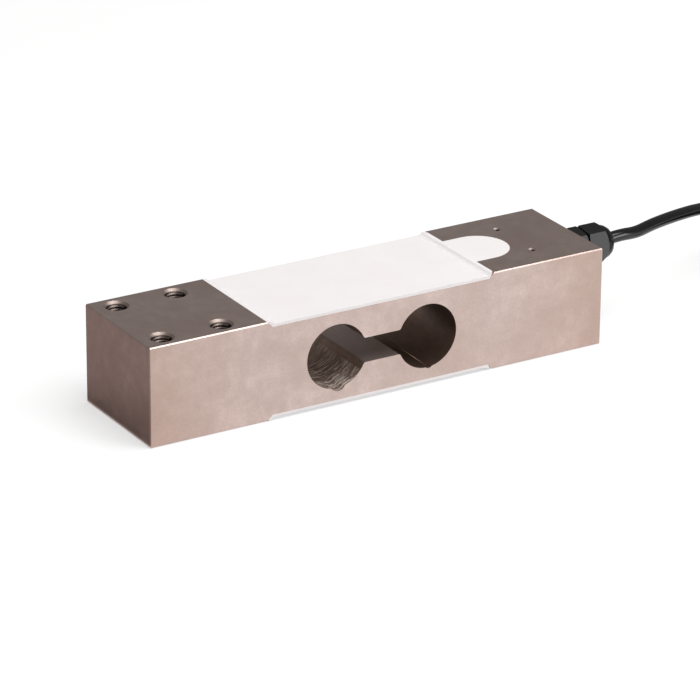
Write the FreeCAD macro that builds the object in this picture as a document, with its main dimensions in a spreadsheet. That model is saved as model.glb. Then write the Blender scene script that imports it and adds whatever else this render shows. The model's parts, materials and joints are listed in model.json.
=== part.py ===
"""Single point load cell: a binocular spring block with bonded strain gauges and a cable.

Frame: millimetres, +Z up. The origin is the centre of the block's bottom face. The load end,
with its four tapped holes on top, is at -X. The fixed end, with the cable gland, is at +X.
The front face is at -Y.
"""
import FreeCAD, Part
import math
import os

import Sketcher

Vector = FreeCAD.Vector
Rotation = FreeCAD.Rotation
Placement = FreeCAD.Placement

doc = FreeCAD.newDocument("load_cell")


# ---------------------------------------------------------------- driving dimensions

DIMENSIONS = {
    # spring block
    "body_length": 200,
    "body_width": 50,
    "body_height": 40,
    "edge_break": 0.4,
    "recess_length": 100,
    "recess_depth": 2.2,
    # binocular opening
    "bore_diameter": 26,
    "bore_spacing": 40,
    "slot_height": 10,
    "slot_blend_radius": 1,
    # grinding marks where the block was trimmed
    "trim_notch_radius": 3.4,
    "trim_notch_depth": 1.4,
    "trim_notch_reach": 16,
    "trim_notch_shift": 0.6,
    "fine_notch_radius": 2,
    "fine_notch_depth": 0.45,
    "fine_notch_reach": 10,
    "fine_notch_shift": 0.8,
    # four M8 tapped holes at each end
    "bolt_tap_diameter": 6.8,
    "bolt_rim_diameter": 9.9,
    "bolt_depth": 16,
    "bolt_spacing_along": 25,
    "bolt_spacing_across": 35,
    "bolt_end_distance": 9.2,
    # two M3 tapped holes on top of the fixed end
    "accessory_tap_diameter": 2.5,
    "accessory_rim_diameter": 3.3,
    "accessory_depth": 8,
    "accessory_spacing": 25,
    "accessory_end_distance": 25,
    # wiring pocket under the cover's tongue
    "tongue_width": 24.5,
    "tongue_reach": 20.8,
    "pocket_ledge": 2.25,
    "pocket_depth": 12,
    "pocket_corner_radius": 3,
    "wire_passage_diameter": 4,
    "wire_passage_setback": 8,
    # silicone covers
    "cover_thickness": 1.1,
    "cover_corner_radius": 2.5,
    "cover_crease_radius": 2,
    "cover_channel_width": 16,
    "cover_channel_depth": 0.6,
    "cover_channel_start": 28,
    # strain gauges and terminal strips
    "gauge_length": 9,
    "gauge_width": 6,
    "gauge_thickness": 0.08,
    "gauge_grid_length": 5,
    "gauge_grid_width": 4,
    "gauge_tab_length": 1.2,
    "gauge_tab_thickness": 0.1,
    "gauge_tab_spacing": 3,
    "strip_length": 5,
    "strip_width": 12,
    "strip_thickness": 0.15,
    "strip_start": 31,
    "lead_diameter": 0.3,
    # terminal board
    "board_length": 12,
    "board_width": 15,
    "board_thickness": 1,
    "board_start_gap": 1,
    "board_corner": 1,
    "board_pad_size": 1.6,
    "board_pad_thickness": 0.05,
    "resistor_length": 3.6,
    "resistor_diameter": 1.4,
    "resistor_cap_length": 0.7,
    "resistor_cap_diameter": 1.6,
    # cable gland, M10, 14 mm across flats
    "gland_height": 31.8,
    "gland_offset": -1.5,
    "gland_turn": 7.7,
    "gland_flats": 14,
    "gland_thread_diameter": 10,
    "gland_thread_clearance": 0.05,
    "gland_shank_length": 8,
    "gland_flange_length": 4.6,
    "gland_washer_thickness": 0.8,
    "gland_washer_diameter": 13.4,
    "gland_bore_diameter": 6,
    "gland_barrel_diameter": 11.2,
    "gland_barrel_length": 5.2,
    "gland_claw_diameter": 10.4,
    "gland_claw_tip_diameter": 9,
    "gland_claw_length": 3.4,
    "gland_claw_slot": 0.8,
    "gland_seat_diameter": 8.4,
    "gland_seat_depth": 7.6,
    "seal_clearance": 0.05,
    "nut_gap": 0.8,
    "nut_hex_length": 8,
    "nut_dome_length": 4.4,
    "nut_mouth_diameter": 6.2,
    "nut_wall_clearance": 0.08,
    "hex_chamfer": 0.7,
    # cable
    "cable_diameter": 5,
    "cable_strip_setback": 3,
    "core_diameter": 1.1,
    # coil of spare cable
    "coil_centre_along": 232,
    "coil_centre_across": -8,
    "coil_mean_radius": 28.3,
    "coil_ring_width": 18.2,
    "coil_layers": 4,
    "coil_edge_radius": 2.4,
    "tie_width": 8,
    "tie_thickness": 0.8,
    "tie_turn": -60,
    # stripped cable end
    "sleeve_diameter": 5.8,
    "sleeve_length": 12,
    "end_core_diameter": 1.3,
    "tip_diameter": 0.8,
    "tip_length": 5,
    "drain_diameter": 1,
}

dim = doc.addObject("Spreadsheet::Sheet", "dim")
for row, (name, number) in enumerate(DIMENSIONS.items(), start=1):
    dim.set(f"A{row}", name)
    dim.set(f"B{row}", str(number))
    dim.setAlias(f"B{row}", name)
doc.recompute()


def value(formula):
    """The number that a formula of the sheet's sizes gives."""
    return float(dim.evalExpression(formula))


# ---------------------------------------------------------------- sketch helpers

def new_body(label):
    body = doc.addObject("PartDesign::Body", label)
    body.Label = label
    return body


def new_sketch(body, name, plane, offset=None):
    """A sketch on one of the body's origin planes, moved along the plane's normal."""
    sketch = body.newObject("Sketcher::SketchObject", name)
    support = [f for f in body.Origin.OriginFeatures if f.Role == plane][0]
    sketch.AttachmentSupport = [(support, "")]
    sketch.MapMode = "FlatFace"
    if offset is not None:
        sketch.setExpression("AttachmentOffset.Base.z", offset)
    return sketch


def place_point(sketch, curve, end, at):
    """Ties one point of a curve to the sketch's origin by two formulas."""
    for axis, formula in zip("XY", at):
        rule = Sketcher.Constraint(f"Distance{axis}", -1, 1, curve, end, value(formula))
        index = sketch.addConstraint(rule)
        sketch.setExpression(f"Constraints[{index}]", formula)


def draw_polygon(sketch, corners):
    """A closed outline of straight lines through corners given as pairs of formulas."""
    points = [Vector(value(x), value(y), 0) for x, y in corners]
    curves = []
    for start, end in zip(points, points[1:] + points[:1]):
        curves.append(sketch.addGeometry(Part.LineSegment(start, end), False))
    for curve, following in zip(curves, curves[1:] + curves[:1]):
        sketch.addConstraint(Sketcher.Constraint("Coincident", curve, 2, following, 1))
    for curve, corner in zip(curves, corners):
        place_point(sketch, curve, 1, corner)


def draw_rectangle(sketch, low, high):
    draw_polygon(sketch, [low, (high[0], low[1]), high, (low[0], high[1])])


def draw_circle(sketch, centre, diameter):
    middle = Vector(value(centre[0]), value(centre[1]), 0)
    circle = Part.Circle(middle, Vector(0, 0, 1), value(diameter) / 2)
    curve = sketch.addGeometry(circle, False)
    place_point(sketch, curve, 3, centre)
    index = sketch.addConstraint(Sketcher.Constraint("Diameter", curve, value(diameter)))
    sketch.setExpression(f"Constraints[{index}]", diameter)


def draw_tongue(sketch, start, centre, half_width):
    """A straight-sided outline from start, closed by a half circle about centre."""
    x0, x1, r = value(start), value(centre), value(half_width)
    upper = sketch.addGeometry(Part.LineSegment(Vector(x0, r, 0), Vector(x1, r, 0)), False)
    circle = Part.Circle(Vector(x1, 0, 0), Vector(0, 0, 1), r)
    nose = sketch.addGeometry(Part.ArcOfCircle(circle, -math.pi / 2, math.pi / 2), False)
    lower = sketch.addGeometry(Part.LineSegment(Vector(x1, -r, 0), Vector(x0, -r, 0)), False)
    back = sketch.addGeometry(Part.LineSegment(Vector(x0, -r, 0), Vector(x0, r, 0)), False)
    for rule in (
        Sketcher.Constraint("Coincident", upper, 2, nose, 2),
        Sketcher.Constraint("Coincident", nose, 1, lower, 1),
        Sketcher.Constraint("Coincident", lower, 2, back, 1),
        Sketcher.Constraint("Coincident", back, 2, upper, 1),
    ):
        sketch.addConstraint(rule)
    index = sketch.addConstraint(Sketcher.Constraint("DistanceX", -1, 1, nose, 3, x1))
    sketch.setExpression(f"Constraints[{index}]", centre)
    place_point(sketch, upper, 1, (start, half_width))
    place_point(sketch, upper, 2, (centre, half_width))
    place_point(sketch, lower, 1, (centre, f"-({half_width})"))
    place_point(sketch, lower, 2, (start, f"-({half_width})"))


def draw_corner_waste(sketch, x, y, radius):
    """What a rounded corner at (x, y) leaves outside it, for a corner on the +X side."""
    side = 1 if value(y) > 0 else -1
    inside_x, inside_y = f"{x} - {radius}", f"{y} - {side} * {radius}"
    beyond_x, beyond_y = f"{x} + {radius}", f"{y} + {side} * {radius}"
    ends = [(inside_x, y), (inside_x, beyond_y), (beyond_x, beyond_y), (beyond_x, inside_y), (x, inside_y)]
    points = [Vector(value(a), value(b), 0) for a, b in ends]
    lines = []
    for start, end in zip(points, points[1:]):
        lines.append(sketch.addGeometry(Part.LineSegment(start, end), False))
    centre = Vector(value(inside_x), value(inside_y), 0)
    circle = Part.Circle(centre, Vector(0, 0, 1), value(radius))
    first, last = (0, math.pi / 2) if side > 0 else (-math.pi / 2, 0)
    arc = sketch.addGeometry(Part.ArcOfCircle(circle, first, last), False)
    for line, following in zip(lines, lines[1:]):
        sketch.addConstraint(Sketcher.Constraint("Coincident", line, 2, following, 1))
    arc_ends = (1, 2) if side > 0 else (2, 1)
    sketch.addConstraint(Sketcher.Constraint("Coincident", lines[-1], 2, arc, arc_ends[0]))
    sketch.addConstraint(Sketcher.Constraint("Coincident", lines[0], 1, arc, arc_ends[1]))
    for line, corner in zip(lines, ends):
        place_point(sketch, line, 1, corner)
    place_point(sketch, lines[-1], 2, ends[-1])
    index = sketch.addConstraint(Sketcher.Constraint("DistanceX", -1, 1, arc, 3, centre.x))
    sketch.setExpression(f"Constraints[{index}]", inside_x)


def add_pad(body, name, sketch, length, midplane=False, reverse=False):
    pad = body.newObject("PartDesign::Pad", name)
    pad.Profile = sketch
    pad.setExpression("Length", length)
    pad.Midplane = midplane
    pad.Reversed = reverse
    doc.recompute()
    return pad


def add_pocket(body, name, sketch, length=None, reverse=False):
    """A pocket of the given length, or right through both ways."""
    before = body.Shape.Volume
    pocket = body.newObject("PartDesign::Pocket", name)
    pocket.Profile = sketch
    if length is None:
        pocket.Type = "ThroughAll"
        pocket.Midplane = True
    else:
        pocket.setExpression("Length", length)
        pocket.Reversed = reverse
    doc.recompute()
    if body.Shape.Volume > before - 1e-4:
        raise RuntimeError(f"{name} cuts nothing")
    return pocket


def add_revolution(body, name, sketch, axis="H_Axis"):
    turned = body.newObject("PartDesign::Revolution", name)
    turned.Profile = sketch
    turned.ReferenceAxis = (sketch, [axis])
    turned.Angle = 360
    doc.recompute()
    return turned


def edge_names(feature, wanted):
    """The names of the feature's edges that the test picks."""
    edges = enumerate(feature.Shape.Edges, start=1)
    return [f"Edge{number}" for number, edge in edges if wanted(edge)]


def add_edge_feature(body, kind, name, wanted, size):
    """A fillet or a chamfer on the edges that the test picks."""
    base = body.Tip
    feature = body.newObject(f"PartDesign::{kind}", name)
    feature.Base = (base, edge_names(base, wanted))
    feature.setExpression("Radius" if kind == "Fillet" else "Size", size)
    doc.recompute()
    return feature


def near(first, second):
    return abs(first - second) < 0.01


# ---------------------------------------------------------------- spring block

def load_bolt_centres():
    """The four tapped holes at the load end, as pairs of formulas."""
    outer = "-dim.body_length / 2 + dim.bolt_end_distance"
    inner = f"{outer} + dim.bolt_spacing_along"
    across = "dim.bolt_spacing_across / 2"
    return [(x, y) for x in (outer, inner) for y in (across, f"-{across}")]


def fixed_bolt_centres():
    return [(f"-({x})", y) for x, y in load_bolt_centres()]


def accessory_centres():
    along = "dim.body_length / 2 - dim.accessory_end_distance"
    across = "dim.accessory_spacing / 2"
    return [(along, across), (along, f"-{across}")]


def add_tapped_holes(body, name, centres, size, height, upwards=False):
    """Blind tap-drilled holes with a countersunk rim, sunk from a flat at the height."""
    sketch = new_sketch(body, f"{name}_centres", "XY_Plane", height)
    for centre in centres:
        draw_circle(sketch, centre, f"dim.{size}_tap_diameter")
    doc.recompute()
    before = body.Shape.Volume
    hole = body.newObject("PartDesign::Hole", name)
    hole.Profile = sketch
    hole.ThreadType = "None"
    hole.setExpression("Diameter", f"dim.{size}_tap_diameter")
    hole.DepthType = "Dimension"
    hole.setExpression("Depth", f"dim.{size}_depth")
    hole.DrillPoint = "Angled"
    hole.DrillPointAngle = 118
    hole.HoleCutType = "Countersink"
    hole.setExpression("HoleCutDiameter", f"dim.{size}_rim_diameter")
    hole.HoleCutCountersinkAngle = 90
    hole.Reversed = upwards
    doc.recompute()
    if body.Shape.Volume > before - 1:
        raise RuntimeError(f"{name} cuts nothing")


def add_trim_notch(body, name, size, centre):
    """A round file mark in a bore's floor, deepest at the front face and fading inwards."""
    sketch = new_sketch(body, f"{name}_outline", "XZ_Plane")
    floor = "dim.body_height / 2 - dim.bore_diameter / 2"
    slope = f"atan(dim.{size}_depth / dim.{size}_reach)"
    sketch.setExpression("AttachmentOffset.Base.z", "dim.body_width / 2")
    sketch.setExpression("AttachmentOffset.Base.y", f"{floor} - dim.{size}_depth + dim.{size}_radius")
    sketch.AttachmentOffset = Placement(sketch.AttachmentOffset.Base, Rotation(Vector(1, 0, 0), 1))
    sketch.setExpression("AttachmentOffset.Rotation.Angle", slope)
    draw_circle(sketch, (f"{centre} + dim.{size}_shift", "0"), f"2 * dim.{size}_radius")
    add_pocket(body, name, sketch, f"dim.{size}_reach")


def make_elastic_body():
    body = new_body("elastic_body")
    half_length, half_recess = "dim.body_length / 2", "dim.recess_length / 2"
    foot = f"{half_recess} - dim.recess_depth"

    # The side view: a bar with a shallow recess above and below, its ends at 45 degrees.
    profile = new_sketch(body, "side_view", "XZ_Plane")
    lower = [
        (f"-{half_length}", "0"),
        (f"-{half_recess}", "0"),
        (f"-({foot})", "dim.recess_depth"),
        (foot, "dim.recess_depth"),
        (half_recess, "0"),
        (half_length, "0"),
    ]
    upper = [(x, f"dim.body_height - {z}") for x, z in reversed(lower)]
    draw_polygon(profile, lower + upper)
    add_pad(body, "bar", profile, "dim.body_width", midplane=True)

    def outer_edge(edge):
        middle = edge.CenterOfMass
        ends = near(abs(middle.x), value(half_length))
        sides = near(abs(middle.y), value("dim.body_width / 2"))
        flats = near(abs(middle.z - value("dim.body_height / 2")), value("dim.body_height / 2"))
        return ends + sides + flats >= 2

    add_edge_feature(body, "Chamfer", "edge_breaks", outer_edge, "dim.edge_break")

    # The binocular opening: two bores and the slot that joins them.
    bores = new_sketch(body, "bore_circles", "XZ_Plane")
    for side in ("-", ""):
        centre = (f"{side}dim.bore_spacing / 2", "dim.body_height / 2")
        draw_circle(bores, centre, "dim.bore_diameter")
    add_pocket(body, "bores", bores)
    slot = new_sketch(body, "slot_outline", "XZ_Plane")
    low = ("-dim.bore_spacing / 2", "dim.body_height / 2 - dim.slot_height / 2")
    high = ("dim.bore_spacing / 2", "dim.body_height / 2 + dim.slot_height / 2")
    draw_rectangle(slot, low, high)
    add_pocket(body, "slot", slot)
    half_chord = "sqrt((dim.bore_diameter / 2) ^ 2 - (dim.slot_height / 2) ^ 2)"
    corner_x = value(f"dim.bore_spacing / 2 - {half_chord}")
    corner_z = value("dim.slot_height / 2")

    def slot_corner(edge):
        middle = edge.CenterOfMass
        rise = middle.z - value("dim.body_height / 2")
        return near(abs(middle.x), corner_x) and near(abs(rise), corner_z)

    add_edge_feature(body, "Fillet", "slot_blends", slot_corner, "dim.slot_blend_radius")
    add_trim_notch(body, "trim_notch", "trim_notch", "-dim.bore_spacing / 2")
    add_trim_notch(body, "fine_notch", "fine_notch", "dim.bore_spacing / 2")

    # The wiring pocket: a shallow seat for the cover's tongue with a deep pocket inside it.
    nose = f"{half_recess} + dim.tongue_reach - dim.tongue_width / 2"
    seat = new_sketch(body, "tongue_seat_outline", "XY_Plane", "dim.body_height")
    draw_tongue(seat, f"{half_recess} - dim.recess_depth", nose, "dim.tongue_width / 2")
    add_pocket(body, "tongue_seat", seat, "dim.recess_depth")
    pocket = new_sketch(body, "wiring_pocket_outline", "XY_Plane", "dim.body_height")
    start = f"{half_recess} + dim.edge_break"
    draw_tongue(pocket, start, nose, "dim.tongue_width / 2 - dim.pocket_ledge")
    add_pocket(body, "wiring_pocket", pocket, "dim.pocket_depth")

    def pocket_corner(edge):
        middle = edge.CenterOfMass
        across = value("dim.tongue_width / 2 - dim.pocket_ledge")
        return near(middle.x, value(start)) and near(abs(middle.y), across)

    add_edge_feature(body, "Fillet", "pocket_corners", pocket_corner, "dim.pocket_corner_radius")
    passage = new_sketch(body, "wire_passage_outline", "XY_Plane", "dim.body_height")
    setback = f"{half_recess} - dim.wire_passage_setback"
    draw_circle(passage, (setback, "0"), "dim.wire_passage_diameter")
    add_pocket(body, "wire_passage", passage, "dim.body_height")

    # The threaded cable entry in the end face, and the way on into the pocket.
    entry = new_sketch(body, "cable_entry_outline", "YZ_Plane", half_length)
    axis = ("dim.gland_offset", "dim.gland_height")
    draw_circle(entry, axis, "dim.gland_thread_diameter + 2 * dim.gland_thread_clearance")
    add_pocket(body, "cable_entry", entry, "dim.gland_shank_length + 1")
    way = new_sketch(body, "cable_way_outline", "YZ_Plane", half_length)
    draw_circle(way, axis, "dim.gland_bore_diameter")
    reach = f"{half_length} - ({nose})"
    add_pocket(body, "cable_way", way, reach)

    add_tapped_holes(body, "load_bolts", load_bolt_centres(), "bolt", "dim.body_height")
    add_tapped_holes(body, "fixed_bolts", fixed_bolt_centres(), "bolt", "0 * dim.body_height", True)
    add_tapped_holes(body, "accessory_holes", accessory_centres(), "accessory", "dim.body_height")
    return body


# ---------------------------------------------------------------- silicone covers

COVER_LIP = "dim.recess_length / 2 - dim.cover_thickness * sqrt(2)"
COVER_CREASE = f"{COVER_LIP} - (dim.recess_depth - dim.cover_thickness)"


def add_cover_sheet(body, floor, skin, edge):
    """The sheet that lines a recess and runs up its sloping ends, seen from the side."""
    half_recess = "dim.recess_length / 2"
    foot = f"{half_recess} - dim.recess_depth"
    right = [(foot, floor), (half_recess, edge), (COVER_LIP, edge), (COVER_CREASE, skin)]
    left = [(f"-({x})", z) for x, z in reversed(right)]
    sketch = new_sketch(body, "section", "XZ_Plane")
    draw_polygon(sketch, right + left)
    add_pad(body, "sheet", sketch, "dim.body_width", midplane=True)

    corners = new_sketch(body, "corner_waste", "XY_Plane", "dim.body_height / 2")
    for side in ("", "-"):
        edge_y = f"{side}dim.body_width / 2"
        draw_corner_waste(corners, half_recess, edge_y, "dim.cover_corner_radius")
    add_pocket(body, "rounded_corners", corners)


def add_cover_channel(body, level, end, upwards):
    """The hollow under the sheet that clears the gauges, strips and leads."""
    sketch = new_sketch(body, "channel_outline", "XY_Plane", level)
    half = "dim.cover_channel_width / 2"
    draw_rectangle(sketch, ("-dim.cover_channel_start", f"-{half}"), (end, half))
    add_pocket(body, "channel", sketch, "dim.cover_channel_depth", reverse=upwards)


def soften_creases(body, skin):
    """Rounds the two creases where the sheet turns up its sloping ends."""
    crease, level = value(COVER_CREASE), value(skin)

    def on_crease(edge):
        middle = edge.CenterOfMass
        return near(abs(middle.x), crease) and near(middle.z, level) and near(middle.y, 0)

    add_edge_feature(body, "Fillet", "soft_creases", on_crease, "dim.cover_crease_radius")


def make_top_cover():
    body = new_body("top_cover")
    floor = "dim.body_height - dim.recess_depth"
    skin = f"{floor} + dim.cover_thickness"
    add_cover_sheet(body, floor, skin, "dim.body_height")
    half_recess = "dim.recess_length / 2"
    nose = f"{half_recess} + dim.tongue_reach - dim.tongue_width / 2"
    tongue = new_sketch(body, "tongue_outline", "XY_Plane", floor)
    start = f"{half_recess} - dim.recess_depth"
    draw_tongue(tongue, start, nose, "dim.tongue_width / 2")
    add_pad(body, "tongue", tongue, "dim.recess_depth")
    slope = new_sketch(body, "slope_waste", "XZ_Plane")
    below = f"{COVER_CREASE} - dim.recess_depth"
    top = "dim.body_height"
    draw_polygon(slope, [(below, skin), (COVER_CREASE, skin), (COVER_LIP, top), (below, top)])
    add_pocket(body, "tongue_slope", slope)
    soften_creases(body, skin)
    add_cover_channel(body, floor, f"{half_recess} + dim.edge_break + 3", True)
    return body


def make_bottom_cover():
    body = new_body("bottom_cover")
    skin = "dim.recess_depth - dim.cover_thickness"
    add_cover_sheet(body, "dim.recess_depth", skin, "0")
    soften_creases(body, skin)
    end = "dim.recess_length / 2 - dim.wire_passage_setback + dim.wire_passage_diameter"
    add_cover_channel(body, "dim.recess_depth", end, False)
    return body


# ---------------------------------------------------------------- gauges, strips and leads

GAUGES = {
    "gauge_top_load_end": (-1, 1),
    "gauge_top_fixed_end": (1, 1),
    "gauge_bottom_load_end": (-1, -1),
    "gauge_bottom_fixed_end": (1, -1),
}


def recess_placement(body, along, side):
    """Sets a bonded piece on the recess floor: side 1 faces up, -1 faces down."""
    height = "dim.body_height - dim.recess_depth" if side > 0 else "dim.recess_depth"
    turn = Rotation(Vector(1, 0, 0), 0 if side > 0 else 180)
    body.Placement = Placement(Vector(0, 0, 0), turn)
    body.setExpression("Placement.Base.x", along)
    body.setExpression("Placement.Base.z", height)


def make_gauge(label, end, side):
    """A foil gauge: the backing, the raised grid and two solder tabs towards the fixed end."""
    body = new_body(label)
    backing = new_sketch(body, "backing_outline", "XY_Plane")
    length, width = "dim.gauge_length / 2", "dim.gauge_width / 2"
    draw_rectangle(backing, (f"-{length}", f"-{width}"), (length, width))
    add_pad(body, "backing", backing, "dim.gauge_thickness")
    grid = new_sketch(body, "grid_outline", "XY_Plane")
    left = "-dim.gauge_length / 2 + 0.5"
    half = "dim.gauge_grid_width / 2"
    draw_rectangle(grid, (left, f"-{half}"), (f"{left} + dim.gauge_grid_length", half))
    add_pad(body, "grid", grid, "dim.gauge_thickness * 1.5")
    tabs = new_sketch(body, "tab_outlines", "XY_Plane")
    for sign in ("-", ""):
        tab_x = "dim.gauge_length / 2 - dim.gauge_tab_length"
        centre = (tab_x, f"{sign}dim.gauge_tab_spacing / 2")
        draw_circle(tabs, centre, "dim.gauge_tab_length")
    add_pad(body, "tabs", tabs, "dim.gauge_thickness + dim.gauge_tab_thickness")
    recess_placement(body, f"{end} * dim.bore_spacing / 2", side)
    return body


def make_strip(label, side):
    """A bondable strip with four solder pads."""
    body = new_body(label)
    base = new_sketch(body, "base_outline", "XY_Plane")
    half_width = "dim.strip_width / 2"
    draw_rectangle(base, ("0 * dim.strip_length", f"-{half_width}"), ("dim.strip_length", half_width))
    add_pad(body, "base", base, "dim.strip_thickness")
    pads = new_sketch(body, "pad_outlines", "XY_Plane")
    for across in LEAD_LINES:
        draw_circle(pads, ("dim.strip_length / 2", str(across)), "dim.gauge_tab_length")
    add_pad(body, "pads", pads, "dim.strip_thickness + dim.gauge_tab_thickness")
    recess_placement(body, "dim.strip_start", side)
    return body


# Where the four leads of a strip lie across the block.
LEAD_LINES = (-4.5, -1.5, 1.5, 4.5)


def unit(vector):
    return vector * (1 / vector.Length)


def bent_path(points):
    """Straight runs through the points, joined by the largest tangent arcs that the runs allow."""
    edges, radii = [], []
    start = points[0]
    for before, corner, after in zip(points, points[1:], points[2:]):
        run_in, run_out = corner - before, after - corner
        half_turn = run_in.getAngle(run_out) / 2
        trim = 0.45 * min(run_in.Length, run_out.Length)
        radius = trim / math.tan(half_turn)
        arc_start = corner - unit(run_in) * trim
        arc_end = corner + unit(run_out) * trim
        inward = unit(unit(run_out) - unit(run_in))
        middle = corner + inward * (radius / math.cos(half_turn) - radius)
        edges.append(Part.LineSegment(start, arc_start).toShape())
        edges.append(Part.Arc(arc_start, middle, arc_end).toShape())
        radii.append(round(radius, 1))
        start = arc_end
    edges.append(Part.LineSegment(start, points[-1]).toShape())
    return Part.Wire(edges), radii


def bent_tube(points, diameter):
    """A round bar along the path through the points."""
    path, radii = bent_path(points)
    circle = Part.Circle(points[0], points[1] - points[0], diameter / 2)
    profile = Part.Wire([circle.toShape()])
    tube = path.makePipeShell([profile], True, False)
    expected = math.pi * diameter**2 / 4 * path.Length
    if abs(tube.Volume - expected) > 0.01 * expected:
        raise RuntimeError("a tube's volume doesn't match its section times its length")
    return tube, path.Length, radii


def add_solid(label, shape):
    feature = doc.addObject("Part::Feature", label)
    feature.Label = label
    feature.Shape = shape
    return feature


def mirrored_about_middle(points):
    """The same points seen through the block's mid-height plane."""
    height = value("dim.body_height")
    return [Vector(p.x, p.y, height - p.z) for p in points]


def gauge_to_strip_routes():
    """Leads on the top recess floor: two from each gauge to the strip."""
    level = value("dim.body_height - dim.recess_depth + dim.strip_thickness + dim.lead_diameter")
    tab = value("dim.gauge_length / 2 - dim.gauge_tab_length / 2")
    half_bores = value("dim.bore_spacing / 2")
    strip_x = value("dim.strip_start + dim.strip_length / 2 - dim.gauge_tab_length / 2")
    routes = []
    for side in (-1, 1):
        inner = side * value("dim.gauge_tab_spacing / 2")
        outer = side * LEAD_LINES[3]
        routes.append([Vector(half_bores + tab, inner, level), Vector(strip_x, inner, level)])
        routes.append(
            [
                Vector(-half_bores + tab, inner, level),
                Vector(-half_bores + tab + 6, inner, level),
                Vector(-half_bores + tab + 12, outer, level),
                Vector(strip_x, outer, level),
            ]
        )
    return routes


def strip_to_board_routes():
    """Leads from the top strip over the pocket's edge and down to the board."""
    level = value("dim.body_height - dim.recess_depth + dim.strip_thickness + dim.lead_diameter")
    strip_x = value("dim.strip_start + dim.strip_length / 2 + dim.gauge_tab_length / 2")
    pad_x = value("dim.recess_length / 2 + dim.edge_break + dim.board_start_gap") + 1
    landing = board_top()
    bend = 1.4
    return [
        [
            Vector(strip_x, y, level),
            Vector(pad_x - bend, y, level),
            Vector(pad_x, y, level - bend),
            Vector(pad_x, y, landing),
        ]
        for y in LEAD_LINES
    ]


def passage_routes():
    """Leads from the bottom strip, up through the passage and over to the board."""
    height = value("dim.body_height")
    level = value("dim.body_height - dim.recess_depth + dim.lead_diameter")
    strip_x = value("dim.strip_start + dim.strip_length / 2 + dim.gauge_tab_length / 2")
    strip_level = value("dim.recess_depth - dim.strip_thickness - dim.lead_diameter")
    passage_x = value("dim.recess_length / 2 - dim.wire_passage_setback")
    pad_x = value("dim.recess_length / 2 + dim.edge_break + dim.board_start_gap") + 2.4
    landing = board_top()
    routes = []
    bend = 2.4
    for across, squeezed in zip(LEAD_LINES, (-0.9, -0.3, 0.3, 0.9)):
        routes.append(
            [
                Vector(strip_x, across, strip_level),
                Vector(passage_x - bend, squeezed, height - level),
                Vector(passage_x, squeezed, height - level),
                Vector(passage_x, squeezed, level),
                Vector(passage_x + bend, squeezed, level),
                Vector(pad_x - bend / 2, squeezed * 1.2, level),
                Vector(pad_x, squeezed * 1.2, level - bend / 2),
                Vector(pad_x, squeezed * 1.2, landing),
            ]
        )
    return routes


def make_leads(label, routes):
    diameter = value("dim.lead_diameter")
    tubes = []
    for route in routes:
        if len(route) == 2:
            run = route[1] - route[0]
            tubes.append(Part.makeCylinder(diameter / 2, run.Length, route[0], run))
        else:
            tubes.append(bent_tube(route, diameter)[0])
    return add_solid(label, Part.makeCompound(tubes))


# ---------------------------------------------------------------- terminal board

def board_top():
    return value("dim.body_height - dim.pocket_depth + dim.board_thickness")


def board_start():
    return "dim.recess_length / 2 + dim.edge_break + dim.board_start_gap"


def make_terminal_board():
    body = new_body("terminal_board")
    outline = new_sketch(body, "board_outline", "XY_Plane")
    half = "dim.board_width / 2"
    draw_rectangle(outline, ("0 * dim.board_length", f"-{half}"), ("dim.board_length", half))
    add_pad(body, "board", outline, "dim.board_thickness")

    def corner(edge):
        return near(edge.Length, value("dim.board_thickness"))

    add_edge_feature(body, "Chamfer", "board_corners", corner, "dim.board_corner")
    body.setExpression("Placement.Base.x", board_start())
    body.setExpression("Placement.Base.z", "dim.body_height - dim.pocket_depth")
    return body


def core_pads():
    """Where the four cable cores land on the board, across the block."""
    return (-5.25, -1.75, 1.75, 5.25)


def make_core_pads():
    """Four tinned pads for the cable's cores, on the board's far edge."""
    size, thickness = value("dim.board_pad_size"), value("dim.board_pad_thickness")
    far = value(board_start() + " + dim.board_length - dim.board_corner")
    pads = []
    for across in core_pads():
        low = Vector(far - size, across - size / 2, board_top())
        pads.append(Part.makeBox(size, size, thickness, low))
    return add_solid("board_pads", Part.makeCompound(pads))


def resistor(centre):
    """A small round resistor with end caps, lying across the board."""
    length, cap = value("dim.resistor_length"), value("dim.resistor_cap_length")
    barrel_r, cap_r = value("dim.resistor_diameter / 2"), value("dim.resistor_cap_diameter / 2")
    start = centre - Vector(0, length / 2, 0)
    across = Vector(0, 1, 0)
    barrel = Part.makeCylinder(barrel_r, length, start, across)
    near_cap = Part.makeCylinder(cap_r, cap, start, across)
    far_cap = Part.makeCylinder(cap_r, cap, start + Vector(0, length - cap, 0), across)
    return barrel.fuse([near_cap, far_cap]).removeSplitter()


def make_resistors(label, places):
    seat = board_top() + value("dim.resistor_cap_diameter / 2")
    left = value(board_start())
    parts = [resistor(Vector(left + x, y, seat)) for x, y in places]
    return add_solid(label, Part.makeCompound(parts))


# ---------------------------------------------------------------- cable gland

def place_on_gland_axis(body):
    """The gland's pieces are turned about their own X axis, out from the end face."""
    body.Placement = Placement(Vector(0, 0, 0), Rotation(Vector(1, 0, 0), value("dim.gland_turn")))
    body.setExpression("Placement.Base.x", "dim.body_length / 2")
    body.setExpression("Placement.Base.y", "dim.gland_offset")
    body.setExpression("Placement.Base.z", "dim.gland_height")
    body.setExpression("Placement.Rotation.Angle", "dim.gland_turn")


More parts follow.
